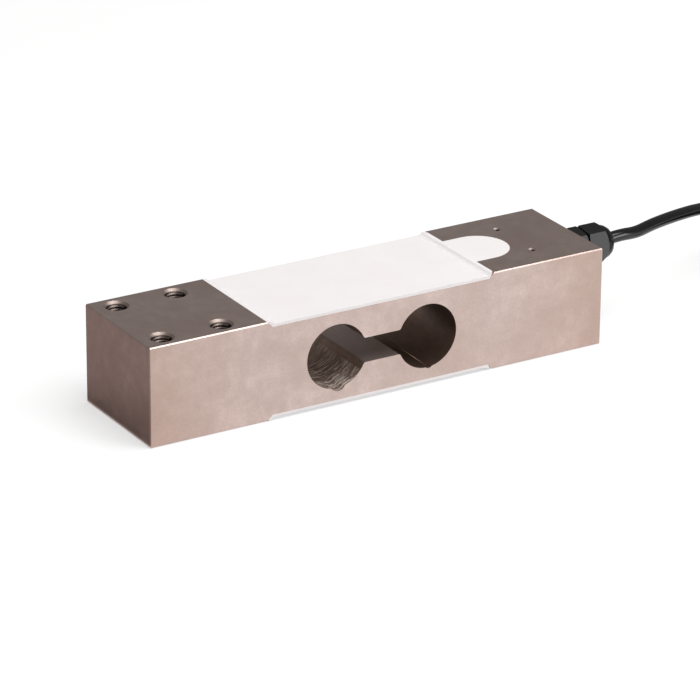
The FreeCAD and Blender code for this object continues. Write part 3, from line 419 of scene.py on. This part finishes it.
def hole_mask(finish, along, depth):
    """One round the axes of the bolt holes and the two small holes, zero elsewhere."""
    bolts, small = mounts["load_end_bolts"], mounts["accessory_holes"]
    from_pattern = finish.maths("SUBTRACT", finish.maths("ABSOLUTE", along), abs(bolts["pos_m"][0]))
    half_spacing = bolts["dims"]["spacing_x_mm"] * MM / 2
    bolt_off = finish.maths("SUBTRACT", finish.maths("ABSOLUTE", from_pattern), half_spacing)
    at_bolts = near_axes(finish, bolt_off, depth, bolts["dims"]["spacing_y_mm"] * MM, BOLT_RIM)
    small_off = finish.maths("SUBTRACT", along, small["pos_m"][0])
    at_small = near_axes(finish, small_off, depth, small["dims"]["spacing_y_mm"] * MM, SMALL_RIM)
    return finish.maths("MAXIMUM", at_bolts, at_small)


# %% [markdown]
# ## Nickel-plated steel
#
# The block is milled from alloy steel, ground, and plated with a thin, warm nickel. The plating
# keeps the fine grain of the ground face and has soft cloudy patches where the bath took
# differently. A metal has no colour of its own to scatter, so its base colour tints what it
# mirrors, and a roughness near a third spreads the mirror image until only light and dark are
# left. The tones could all be one noise, but each part of the block has its own marks and its own
# painted light and shade, so each gets a short function, and the masks choose between them.

# %% Tones of the steel
def face_tone(finish, along, depth, clouds, grain):
    """The ground and plated outer faces, with painted shade darkening and warming the front face towards
    its ends.
    """
    patches = finish.ramp(finish.noise(190, detail=5), 0.36, 0.64)
    tone = finish.blend(clouds, (0.665, 0.540, 0.498), (0.515, 0.400, 0.358))
    tone = finish.blend(finish.product(patches, 0.6), tone, (0.500, 0.395, 0.358))
    tone = finish.blend(finish.ramp(grain, 0.35, 0.65, 0, 0.3), tone, (0.42, 0.33, 0.30))
    # Painted shade: the front face is darkened and warmed towards its two ends.
    painted_end_shade = finish.ramp(finish.maths("ABSOLUTE", along), 55 * MM, 100 * MM, 0, 0.42)
    on_front = finish.maths("LESS_THAN", depth, SKIN - HALF_DEPTH)
    return finish.blend(finish.product(painted_end_shade, on_front), tone, (0.42, 0.27, 0.21))


def dressing_strokes(finish, along, depth, height):
    """Where the load end's bore was dressed by hand, and the strokes themselves."""
    left_bore = finish.maths("LESS_THAN", along, -9.5 * MM)
    low_part = finish.ramp(height, 18 * MM, 9.5 * MM)
    near_front = finish.ramp(depth, 10 * MM, -12 * MM)
    lines = finish.stretched((210, 1500, 210), (0, 0, math.radians(9)))
    streaks = finish.noise(1.0, detail=5, where=lines, roughness=0.65)
    return finish.product(left_bore, low_part, near_front), streaks


def bore_painted_light_and_strokes(finish, along, region, streaks):
    """Bore walls in painted shade, lighter on the load end's bore as painted light, a paler slot as
    painted reflection, and the bright dressing strokes.
    """
    mottle = finish.ramp(finish.noise(260, detail=4), 0.3, 0.7)
    # Painted shade darkens the bore walls; the load end's bore is lighter, as painted light.
    painted_light_side = finish.ramp(along, -8 * MM, 12 * MM)
    tone = finish.blend(painted_light_side, (0.40, 0.30, 0.25), (0.23, 0.155, 0.12))
    tone = finish.blend(finish.product(mottle, 0.5), tone, (0.14, 0.10, 0.08))
    # Painted reflection: the slot between the bores is paler.
    tone = finish.blend(finish.within(7.9 * MM, 0, along), tone, (0.46, 0.39, 0.37))
    worn = finish.product(region, finish.ramp(streaks, 0.5, 0.58))
    return finish.blend(worn, tone, (0.95, 0.86, 0.78))


def hole_painted_shade(finish, from_middle):
    """A hole's wall in painted shade: nearly black below, and lighter on the countersunk rim."""
    # Painted shade: the wall is nearly black deep down and lighter towards the rim.
    on_rim = finish.ramp(from_middle, 18.9 * MM, 19.3 * MM)
    return finish.blend(on_rim, (0.03, 0.024, 0.021), (0.36, 0.29, 0.26))


# %% Plated steel
def plated_steel():
    """The whole block's finish: its tones, its dullness and its relief."""
    finish = Finish("nickel_plated_steel", (0.62, 0.49, 0.45), metallic=1.0, roughness=0.34)
    along, depth, height = finish.node("ShaderNodeSeparateXYZ", {"Vector": finish.place}).outputs
    clouds = finish.ramp(finish.noise(42, detail=5, roughness=0.6), 0.34, 0.66)
    grain = finish.noise(1300, detail=4)
    opening = opening_mask(finish, along, depth, height)
    region, streaks = dressing_strokes(finish, along, depth, height)
    from_middle = finish.away_from(MIDDLE_HEIGHT, height)
    below_face = finish.maths("LESS_THAN", from_middle, MIDDLE_HEIGHT - SKIN)
    holes = finish.product(hole_mask(finish, along, depth), below_face)

    tone = face_tone(finish, along, depth, clouds, grain)
    tone = finish.blend(opening, tone, bore_painted_light_and_strokes(finish, along, region, streaks))
    tone = finish.blend(holes, tone, hole_painted_shade(finish, from_middle))
    finish.put(finish.shader, "Base Color", tone)

    plain = finish.ramp(grain, 0.3, 0.7, 0.30, 0.38)
    roughness = finish.maths("ADD", plain, finish.product(clouds, 0.03))
    dull = finish.product(finish.maths("MAXIMUM", opening, holes), 0.14)
    finish.put(finish.shader, "Roughness", finish.maths("ADD", roughness, dull))
    relief = finish.bump(finish.noise(2600, detail=3), 0.006 * MM, 0.4)
    cuts = finish.product(region, opening, streaks)
    finish.put(finish.shader, "Normal", finish.bump(cuts, 0.9 * MM, 1.0, relief))
    return finish.material


steel = plated_steel()
print(steel.name, "has", len(steel.node_tree.nodes), "nodes")

# %% [markdown]
# ## Silicone covers
#
# Two moulded silicone covers keep water off the gauges. Silicone is white right through, a
# little soft to look into, and picks up faint unevenness from the mould. Light that goes a little
# way in hides short slopes. Subsurface scattering could show that too, at the cost of a slower
# render. Here the end slopes' normals are turned most of the way to the flat part's instead.

# %% White silicone
SLOPE_SHOWN = 0.2  # how much of an end slope's lean stays in its shading


def white_silicone():
    """Matt white, with a faint unevenness of tone and of surface."""
    finish = Finish("white_silicone", (0.91, 0.875, 0.87), roughness=0.42)
    finish.put(finish.shader, "Specular IOR Level", 0.35)
    uneven = finish.ramp(finish.noise(60, detail=3), 0.35, 0.65)
    tone = finish.blend(uneven, (0.915, 0.885, 0.88), (0.895, 0.86, 0.855))
    finish.put(finish.shader, "Base Color", tone)
    finish.put(finish.shader, "Roughness", finish.ramp(finish.noise(900), 0.3, 0.7, 0.38, 0.48))

    facing = finish.node("ShaderNodeNewGeometry").outputs["Normal"]
    eased = {0: facing, 1: (SLOPE_SHOWN, 1, 1)}
    eased = finish.node("ShaderNodeVectorMath", eased, operation="MULTIPLY").outputs[0]
    eased = finish.node("ShaderNodeVectorMath", {0: eased}, operation="NORMALIZE").outputs[0]
    mould = finish.bump(finish.noise(45, detail=2), 0.12 * MM, 0.5, eased)
    finish.put(finish.shader, "Normal", finish.bump(finish.noise(2200), 0.004 * MM, 0.3, mould))
    return finish.material


silicone = white_silicone()
print(silicone.name, "has", len(silicone.node_tree.nodes), "nodes")

# %% [markdown]
# ## Plastics, rubber and wire
#
# The gland is moulded black nylon, glossy with a hint of mould grain. The cable's sheath is a
# smooth extruded plastic. Each small material could have a graph of its own, but a moulded or
# drawn surface differs from the next mostly in its numbers, so they share one recipe: a base
# colour with slightly darker patches, a roughness that wanders a little, and a fine bump.

# %% Small finishes
def plain_finish(
    name, base, roughness, metallic=0.0, patch=400, contrast=0.15, grain=0.004, **sockets
):
    """A moulded or drawn surface: patches of tone, wandering roughness and a fine grain."""
    finish = Finish(name, base, metallic, roughness, **sockets)
    darker = tuple(channel * (1 - contrast) for channel in base)
    tone = finish.ramp(finish.noise(patch), 0.35, 0.65)
    finish.put(finish.shader, "Base Color", finish.blend(tone, base, darker))
    spread = finish.ramp(finish.noise(patch * 2.3), 0.3, 0.7, roughness * 0.88, roughness * 1.12)
    finish.put(finish.shader, "Roughness", spread)
    finish.put(finish.shader, "Normal", finish.bump(finish.noise(3000), grain * MM, 0.4))
    return finish.material


sheath = plain_finish("cable_sheath", (0.005, 0.005, 0.006), 0.15, patch=160, contrast=0.3)
nylon = plain_finish(
    "black_nylon", (0.006, 0.006, 0.007), 0.22,
    patch=250, contrast=0.25, grain=0.008, Specular_IOR_Level=0.25,
)
rubber = plain_finish("black_rubber", (0.025, 0.025, 0.025), 0.6, contrast=0.2, grain=0.01)
heat_shrink = plain_finish("heat_shrink", (0.02, 0.02, 0.021), 0.45, contrast=0.2)
cut_steel = plain_finish("cut_thread", (0.24, 0.19, 0.17), 0.42, metallic=1.0, patch=900, contrast=0.4)
tin = plain_finish("tinned_copper", (0.70, 0.69, 0.67), 0.3, metallic=1.0, patch=1500)
solder = plain_finish("solder", (0.68, 0.68, 0.68), 0.28, metallic=1.0, patch=1500)
foil_film = plain_finish("gauge_foil", (0.55, 0.33, 0.08), 0.35, patch=1200, contrast=0.4)
laminate = plain_finish("strip_laminate", (0.42, 0.30, 0.11), 0.5, patch=900, contrast=0.3)
enamel = plain_finish("enamelled_copper", (0.62, 0.22, 0.08), 0.3, metallic=1.0)
board_green = plain_finish("board_laminate", (0.04, 0.20, 0.08), 0.4, patch=700, contrast=0.3)
resistor_blue = plain_finish("resistor_body", (0.28, 0.45, 0.58), 0.3, patch=900, contrast=0.3)
core_finishes = {
    "core_red": plain_finish("core_red", (0.55, 0.02, 0.015), 0.35),
    "core_green": plain_finish("core_green", (0.02, 0.26, 0.06), 0.35),
    "core_white": plain_finish("core_white", (0.80, 0.79, 0.76), 0.35),
    "core_black": plain_finish("core_black", (0.018, 0.018, 0.018), 0.35),
}
print("finishes so far:", len(bpy.data.materials))

# %% [markdown]
# ## The tie's weave
#
# The coil is held by a short hook-and-loop band. Its ribs come from a Wave texture and its nap
# from a fine noise, added together as one height. Real ribs in the mesh would cost thousands of
# faces that nobody could tell from the bump. A little sheen gives the nap its soft edge.

# %% Tie fabric
def woven_tie():
    """Hook-and-loop band: a ribbed weave under a short nap."""
    finish = Finish("tie_fabric", (0.018, 0.018, 0.02), roughness=0.85)
    finish.put(finish.shader, "Sheen Weight", 0.35)
    weave = finish.node("ShaderNodeTexWave", {"Vector": finish.place, "Scale": 900.0, "Distortion": 1.5})
    nap = finish.noise(1900, detail=5)
    both = finish.maths("ADD", weave.outputs["Fac"], nap)
    tone = finish.blend(finish.ramp(nap, 0.35, 0.65), (0.012, 0.012, 0.014), (0.035, 0.035, 0.038))
    finish.put(finish.shader, "Base Color", tone)
    finish.put(finish.shader, "Normal", finish.bump(both, 0.12 * MM, 0.8))
    return finish.material


tie_fabric = woven_tie()
print(tie_fabric.name, "has", len(tie_fabric.node_tree.nodes), "nodes")

# %% [markdown]
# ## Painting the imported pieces
#
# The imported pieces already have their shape, so they only need their finish. A table of piece
# and finish is easier to check than a line for each, and a piece left out of it would stand out.

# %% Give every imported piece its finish
FINISHES = {
    "elastic_body": steel,
    "top_cover": silicone,
    "bottom_cover": silicone,
    "gland_body": nylon,
    "gland_nut": nylon,
    "gland_seal": rubber,
    "gland_washer": rubber,
    "cable_inner": sheath,
    "coil_tie": tie_fabric,
    "end_sleeve": heat_shrink,
    "shield_drain": tin,
    "tinned_tips": tin,
    "board_pads": solder,
    "terminal_board": board_green,
    "terminal_strip_top": laminate,
    "terminal_strip_bottom": laminate,
    "gauge_leads_top": enamel,
    "gauge_leads_bottom": enamel,
    "span_resistors": resistor_blue,
    "zero_resistor": resistor_blue,
    "inner_cores": core_finishes["core_red"],
    **core_finishes,
}
for name, node in nodes.items():
    if name.startswith("gauge_top") or name.startswith("gauge_bottom"):
        FINISHES[name] = foil_film
for name, material in FINISHES.items():
    nodes[name].data.materials.clear()
    nodes[name].data.materials.append(material)
cable.data.materials.append(sheath)
print("painted", len(FINISHES) + 1, "packed pieces")

# %% [markdown]
# ## Opening the file marks
#
# Each bore has a small file mark in the floor of its front rim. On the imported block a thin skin
# still closes them at the front face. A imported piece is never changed, so a copy of the block
# stands in for it, and a short cylinder is taken away from the skin with the Boolean modifier.
# Deleting the skin's faces by hand would leave a hole in the mesh, which a Boolean closes.

# %% The block with its file marks open
def copy_of(name, new_name):
    """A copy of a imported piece, with a mesh of its own."""
    piece = nodes[name].copy()
    piece.data = piece.data.copy()
    piece.name = piece.data.name = new_name
    bpy.context.scene.collection.objects.link(piece)
    return piece


MARKS = {"trim_mark": (-19.4, 9.0, 3.4), "fine_mark": (20.8, 8.55, 2.0)}  # along, height, radius
CUT_LENGTH = 1.2 * MM

block = copy_of("elastic_body", "plated_block")
for name, (along, height, radius) in MARKS.items():
    add_cylinder = bpy.ops.mesh.primitive_cylinder_add
    cutter = start_piece(name, add_cylinder, vertices=64, radius=radius * MM, depth=CUT_LENGTH)
    cutter.rotation_euler.x = math.pi / 2
    cutter.location = (along * MM, block_low.y, height * MM)
    settle(cutter)
    apply_modifier(block, "BOOLEAN", object=cutter, operation="DIFFERENCE", solver="EXACT")
    bpy.data.objects.remove(cutter)
tidy_mesh(block)
print("block has", len(block.data.polygons), "faces")

# %% [markdown]
# ## Flat faces and round walls
#
# Ground faces are dead flat and bored walls are round, and smooth shading across the edge between
# them would smear both. Sharp edges by angle keep most of them apart. The big flat faces are then
# set flat outright, so that no long thin triangle bends their shading.

# %% Shading of the block
BORE_FROM_MIDDLE = 20 * MM
BORE_REACH = 13.1 * MM
SMALL_FACE = 10 * MM**2
SQUARE_ON = 0.9999  # a normal's largest part, on a face square to an axis

bpy.ops.object.shade_smooth_by_angle(angle=math.radians(30))
for face in block.data.polygons:
    along_off = abs(face.center.x) - BORE_FROM_MIDDLE
    from_bore = math.hypot(along_off, face.center.z - MIDDLE_HEIGHT)
    on_bore = from_bore < BORE_REACH and abs(face.normal.y) < 0.5
    small_and_slanted = face.area < SMALL_FACE and max(map(abs, face.normal)) < SQUARE_ON
    face.use_smooth = on_bore or small_and_slanted
finish_piece(block, steel)
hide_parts("elastic_body")
print("smooth faces:", sum(face.use_smooth for face in block.data.polygons))

# %% [markdown]
# ## Screw threads
#
# A tapped hole shows the crests of its thread as rings that wind down into the dark. They could
# be a bump on the wall, but a crest's edge stands out against the hole below, so it is real
# geometry. Its section is a small wedge, which the Screw modifier sweeps round and down, one
# pitch a turn. Every hole gets a crest with a mesh of its own.

# %% Thread crests
def thread_crest(name, hole_radius, pitch, turns, steps):
    """One helical crest about the origin, its top at height zero."""
    add_circle = bpy.ops.mesh.primitive_circle_add
    piece = start_piece(name, add_circle, vertices=4, radius=1, fill_type="NGON")
    root = hole_radius + 0.06 * pitch
    crest = hole_radius - 0.30 * pitch
    corners = [
        (root, 0, 0),
        (crest, 0, -0.42 * pitch),
        (crest, 0, -0.54 * pitch),
        (root, 0, -0.96 * pitch),
    ]
    for vertex, corner in zip(piece.data.vertices, corners):
        vertex.co = corner
    apply_modifier(
        piece, "SCREW", axis="Z", angle=math.tau, screw_offset=-pitch, iterations=turns,
        steps=steps, render_steps=steps, use_normal_calculate=True,
    )
    return piece


def close_ends(piece):
    """Caps the two open ends of a swept band."""
    bpy.ops.object.mode_set(mode="EDIT")
    bpy.ops.mesh.select_all(action="DESELECT")
    bpy.ops.mesh.select_non_manifold()
    bpy.ops.mesh.fill_holes(sides=8)
    bpy.ops.object.mode_set(mode="OBJECT")


def hole_centres(mount):
    """Where a bolt pattern's holes are, on its own face."""
    dims, centre = mount["dims"], mount["pos_m"]
    along, across = dims.get("spacing_x_mm", 0), dims.get("spacing_y_mm", 0)
    offsets = {(side * along / 2, end * across / 2) for side in (-1, 1) for end in (-1, 1)}
    return [(centre[0] + x * MM, centre[1] + y * MM) for x, y in sorted(offsets)]


def line_with_thread(mount_name, pitch, turns, rim_depth, steps=40):
    """A thread crest in each hole of a pattern, below its countersunk rim."""
    mount = mounts[mount_name]
    upwards = mount["axis"][2] > 0
    radius = mount["dims"]["hole_r_mm"] * MM
    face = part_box("elastic_body")[1 if upwards else 0].z
    for number, (x, y) in enumerate(hole_centres(mount), start=1):
        crest = thread_crest(f"{mount_name}_thread_{number}", radius, pitch, turns, steps)
        close_ends(crest)
        if not upwards:
            crest.rotation_euler = (math.pi, 0, 0)
        drop = rim_depth if upwards else -rim_depth
        crest.location = (x, y, face - drop)
        settle(crest)
        tidy_mesh(crest)
        finish_piece(crest, cut_steel)
    print(mount_name, "has", number, "threads of", len(crest.data.polygons), "faces")


line_with_thread("load_end_bolts", 1.25 * MM, 10, 0.9 * MM)
line_with_thread("fixed_end_bolts", 1.25 * MM, 10, 0.9 * MM)
line_with_thread("accessory_holes", 0.5 * MM, 12, 0.35 * MM, steps=24)

# %% [markdown]
# ## Declaring the cord
# ## The cord
#
# Cells of this size often come with two metres of cable, its far end stripped, so this one does
# too.

# %% [markdown]
# ## The floor
#
# The cell stands on a plain white floor. Stronger lamps would make the floor white, but they would
# bleach the metal too. Instead its material glows a little, but only for the rays that look at it,
# straight or in a mirror. It throws no soft light on anything, so the block's shadow stays.

# %% Floor
FLOOR_GLOW = 0.55
FLOOR_SIZE = 60
FLOOR_DROP = 0.2 * MM


def white_floor():
    """A white floor that looks pure white where nothing shades it."""
    finish = Finish("studio_floor", (0.5, 0.5, 0.5), roughness=0.9)
    finish.put(finish.shader, "Specular IOR Level", 0.0)
    path = finish.node("ShaderNodeLightPath")
    seen = finish.maths("ADD", path.outputs["Is Camera Ray"], path.outputs["Is Glossy Ray"])
    seen = finish.maths("ADD", seen, path.outputs["Is Transmission Ray"])
    finish.put(finish.shader, "Emission Color", (1, 1, 1, 1))
    finish.put(finish.shader, "Emission Strength", finish.product(seen, FLOOR_GLOW))
    return finish.material


floor = start_piece("studio_floor", bpy.ops.mesh.primitive_plane_add, size=FLOOR_SIZE)
floor.location.z = -FLOOR_DROP
settle(floor)
floor.data.materials.append(white_floor())
print("floor is", FLOOR_SIZE, "m wide")

# %% [markdown]
# ## Lights
#
# One large softbox hangs overhead, with a weaker one in front. Polished metal shows what stands
# round it, and a studio makes use of that: the front face mirrors the bright floor, while a dim
# room behind the block keeps its top face dark. A dark card lying beside the load end does the same for
# that face. Darker steel there would be simpler, but would look wrong from other sides. Only
# mirror images show the card.

# %% Lights
def add_softbox(name, place, target, size, power):
    """A square softbox aimed at a point."""
    light = bpy.data.lights.new(name, "AREA")
    light.shape = "SQUARE"
    light.size = size
    light.energy = power
    lamp = bpy.data.objects.new(name, light)
    bpy.context.scene.collection.objects.link(lamp)
    lamp.location = place
    lamp.rotation_euler = (Vector(target) - Vector(place)).to_track_quat("-Z", "Y").to_euler()
    return lamp


add_softbox("overhead_softbox", (0.3, -0.5, 1.7), (0, 0, 0), 1.5, 30)
add_softbox("front_softbox", (1.0, -1.4, 0.45), (0, 0, 0.02), 0.8, 10)


# %% Dark card
CARD_GAP = 0.5 * MM


def add_dark_card(name, low, high, height, colour):
    """A dark card that only mirror images show, lying between two corners."""
    card = start_piece(name, bpy.ops.mesh.primitive_plane_add, size=1)
    card.scale = (high[0] - low[0], high[1] - low[1], 1)
    card.location = ((low[0] + high[0]) / 2, (low[1] + high[1]) / 2, height)
    settle(card)
    card.data.materials.append(plain_finish(name, colour, 0.9))
    card.visible_camera = card.visible_diffuse = card.visible_shadow = False
    print(name, "is", [round(side, 3) for side in card.dimensions[:2]], "m")


beside_block = (block_low.x - CARD_GAP, 0.5)
add_dark_card("load_end_card", (-0.5, -0.10), beside_block, CARD_GAP, (0.37, 0.30, 0.29))

# %% [markdown]
# ## The room
#
# The world stands for the pale room round the set, which fills the shadows. A picture of a studio
# could light it too, but an even, slightly warm tone is enough for so plain a set. Standard view
# colours then show each finish as it was written.

# %% World
ROOM_TONE = (1.0, 0.97, 0.96)
ROOM_LEVEL = 0.26

world = bpy.data.worlds.new("studio")
bpy.context.scene.world = world
world.use_nodes = True
background = world.node_tree.nodes["Background"]
background.inputs["Color"].default_value = (*ROOM_TONE, 1)
background.inputs["Strength"].default_value = ROOM_LEVEL
bpy.context.scene.view_settings.view_transform = "Standard"
print("room level", ROOM_LEVEL)
